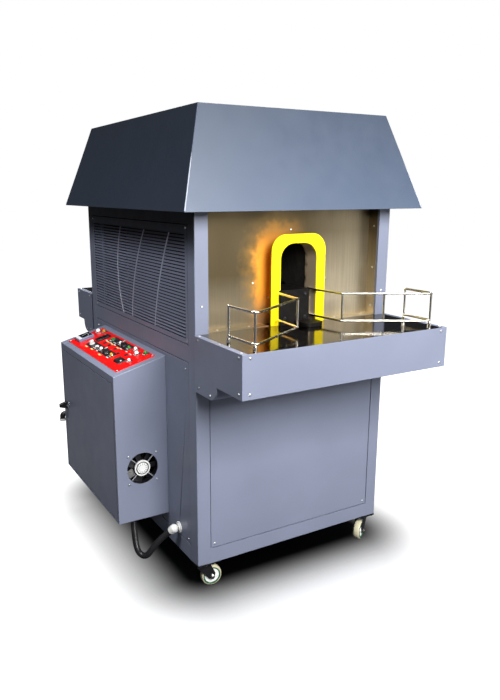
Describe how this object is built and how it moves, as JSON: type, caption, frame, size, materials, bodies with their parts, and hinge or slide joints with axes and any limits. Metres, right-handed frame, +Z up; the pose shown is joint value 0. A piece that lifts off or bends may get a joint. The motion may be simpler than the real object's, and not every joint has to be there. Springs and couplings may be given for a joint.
{
  "type": "gas forge",
  "caption": "Gas-fired pass-through forge furnace in a hooded cabinet on casters, with end tables, wire guards, a sliding work carriage and a side control box.",
  "frame": {"origin": "on the floor under the middle of the bounding box", "axes": "+Z up, -Y towards the front table, -X towards the control box"},
  "size_m": [1.092, 1.523, 1.665],
  "materials": {
    "blue_grey_paint": "satin powder coat",
    "stainless": "brushed, heat tinted round the mouth",
    "polished_steel": "polished",
    "yellow_paint": "gloss",
    "dark_steel": "scaled",
    "firebrick": "rough",
    "cast_iron": "rough",
    "chromed_wire": "polished",
    "galvanised": "spangled",
    "gas_pipe": "satin",
    "brass": "satin",
    "lever_paint": "gloss",
    "blower_paint": "satin",
    "cast_aluminium": "cast",
    "red_panel": "gloss",
    "black_plastic": "fine grain",
    "grey_plastic": "fine grain",
    "green_plastic": "gloss",
    "dark_red_plastic": "gloss",
    "white_plastic": "gloss",
    "lamp_lens": "gloss",
    "instrument_face": "gloss",
    "conduit_black": "ribbed",
    "gland": "moulded",
    "black_metal": "satin",
    "wheel": "moulded",
    "screw_steel": "zinc plated",
    "latch_metal": "cast, chromed rosette",
    "plate_zinc": "zinc plated"
  },
  "bodies": {
    "cabinet": {"air_duct": "galvanised", "base_frame": "blue_grey_paint", "base_front_panel": "blue_grey_paint", "base_left_panel": "blue_grey_paint", "base_rear_panel": "blue_grey_paint", "base_right_panel": "blue_grey_paint", "blower_housing": "blower_paint", "burners": "cast_iron", "cable_glands": "gland", "caster_plates": "black_metal", "chamber_casing": "dark_steel", "conduit": "conduit_black", "control_box": "blue_grey_paint", "control_panel": "red_panel", "electrical_plate": "plate_zinc", "fan_frame": "black_plastic", "fasteners": "screw_steel", "flue_spigot": "galvanised", "front_panel": "stainless", "front_table": "polished_steel", "front_tray": "blue_grey_paint", "gas_inlet": "brass", "gas_manifold": "gas_pipe", "guard_left": "chromed_wire", "guard_right": "chromed_wire", "hearth_plate": "cast_iron", "hood": "blue_grey_paint", "indicator_lamps": "lamp_lens", "left_grille": "blue_grey_paint", "mouth_frames": "yellow_paint", "mouth_sleeves": "dark_steel", "panel_display": "instrument_face", "panel_meter": "instrument_face", "rear_panel": "stainless", "rear_table": "polished_steel", "rear_tray": "blue_grey_paint", "refractory_lining": "firebrick", "right_grille": "blue_grey_paint", "thermocouple": "cast_aluminium"},
    "door": {"box_door": "blue_grey_paint"},
    "latch": {"door_latch": "latch_metal"},
    "box_fan": {"fan_impeller": "black_plastic"},
    "blower_rotor": {"blower_impeller": "cast_aluminium"},
    "gas_cock": {"gas_cock_lever": "lever_paint"},
    "carriage": {"work_carriage": "cast_iron"},
    "rocker": {"main_switch": "black_plastic"},
    "gas_dial": {"gas_knob": "grey_plastic"},
    "blower_dial": {"blower_knob": "black_plastic"},
    "selector_dial": {"selector_knob": "black_plastic"},
    "start_push": {"start_button": "green_plastic"},
    "stop_push": {"stop_button": "dark_red_plastic"},
    "ignition_push": {"ignition_button": "white_plastic"},
    "fork_fl": {"caster_fork_fl": "black_metal"},
    "wheel_fl": {"caster_wheel_fl": "wheel"},
    "fork_fr": {"caster_fork_fr": "black_metal"},
    "wheel_fr": {"caster_wheel_fr": "wheel"},
    "fork_rl": {"caster_fork_rl": "black_metal"},
    "wheel_rl": {"caster_wheel_rl": "wheel"},
    "fork_rr": {"caster_fork_rr": "black_metal"},
    "wheel_rr": {"caster_wheel_rr": "wheel"}
  },
  "joints": [
    {"name": "door_hinge", "type": "hinge", "parent": "cabinet", "child": "door", "pos_m": [-0.505, -0.206, 0.4645], "axis": [0, 0, 1], "range_deg": [0, 100]},
    {"name": "latch_turn", "type": "hinge", "parent": "door", "child": "latch", "pos_m": [-0.51, 0.349, 0.488], "axis": [1, 0, 0], "range_deg": [0, 90]},
    {"name": "fan_spin", "type": "hinge", "parent": "cabinet", "child": "box_fan", "pos_m": [-0.414, -0.207, 0.397], "axis": [0, 1, 0], "continuous": true},
    {"name": "blower_spin", "type": "hinge", "parent": "cabinet", "child": "blower_rotor", "pos_m": [0.339, 0.048, 0.33], "axis": [1, 0, 0], "continuous": true},
    {"name": "gas_cock_turn", "type": "hinge", "parent": "cabinet", "child": "gas_cock", "pos_m": [0.409, 0.598, 0.329], "axis": [0, 0, 1], "range_deg": [-90, 0]},
    {"name": "carriage_slide", "type": "slide", "parent": "cabinet", "child": "carriage", "axis": [0, -1, 0], "range_m": [0, 0.2]},
    {"name": "selector_turn", "type": "hinge", "parent": "cabinet", "child": "selector_dial", "pos_m": [-0.36786, 0.04, 0.78727], "axis": [-0.2658, 0, 0.964], "range_deg": [-45, 45]},
    {"name": "blower_speed_turn", "type": "hinge", "parent": "cabinet", "child": "blower_dial", "pos_m": [-0.43727, 0.048, 0.76813], "axis": [-0.2658, 0, 0.964], "range_deg": [-135, 135]},
    {"name": "gas_rate_turn", "type": "hinge", "parent": "cabinet", "child": "gas_dial", "pos_m": [-0.43727, 0.208, 0.76813], "axis": [-0.2658, 0, 0.964], "range_deg": [0, 270]},
    {"name": "start_press", "type": "slide", "parent": "cabinet", "child": "start_push", "axis": [0.2658, 0, -0.964], "range_m": [0, 0.004], "stiffness_N_per_m": 300},
    {"name": "stop_press", "type": "slide", "parent": "cabinet", "child": "stop_push", "axis": [0.2658, 0, -0.964], "range_m": [0, 0.004], "stiffness_N_per_m": 300},
    {"name": "ignition_press", "type": "slide", "parent": "cabinet", "child": "ignition_push", "axis": [0.2658, 0, -0.964], "range_m": [0, 0.004], "stiffness_N_per_m": 300},
    {"name": "switch_rock", "type": "hinge", "parent": "cabinet", "child": "rocker", "pos_m": [-0.4392, -0.104, 0.7676], "axis": [0.964, 0, 0.2658], "range_deg": [-16, 0]},
    {"name": "swivel_fl", "type": "hinge", "parent": "cabinet", "child": "fork_fl", "pos_m": [-0.281, -0.426, 0.09], "axis": [0, 0, 1], "continuous": true},
    {"name": "roll_fl", "type": "hinge", "parent": "fork_fl", "child": "wheel_fl", "pos_m": [-0.25129, -0.43017, 0.0375], "axis": [0.1392, 0.9903, 0], "continuous": true},
    {"name": "swivel_fr", "type": "hinge", "parent": "cabinet", "child": "fork_fr", "pos_m": [0.439, -0.426, 0.09], "axis": [0, 0, 1], "continuous": true},
    {"name": "roll_fr", "type": "hinge", "parent": "fork_fr", "child": "wheel_fr", "pos_m": [0.41398, -0.44256, 0.0375], "axis": [0.5519, -0.8339, 0], "continuous": true},
    {"name": "swivel_rl", "type": "hinge", "parent": "cabinet", "child": "fork_rl", "pos_m": [-0.281, 0.522, 0.09], "axis": [0, 0, 1], "continuous": true},
    {"name": "roll_rl", "type": "hinge", "parent": "fork_rl", "child": "wheel_rl", "pos_m": [-0.30919, 0.53226, 0.0375], "axis": [-0.342, -0.9397, 0], "continuous": true},
    {"name": "swivel_rr", "type": "hinge", "parent": "cabinet", "child": "fork_rr", "pos_m": [0.439, 0.522, 0.09], "axis": [0, 0, 1], "continuous": true},
    {"name": "roll_rr", "type": "hinge", "parent": "fork_rr", "child": "wheel_rr", "pos_m": [0.44677, 0.55098, 0.0375], "axis": [-0.9659, 0.2588, 0], "continuous": true}
  ]
}
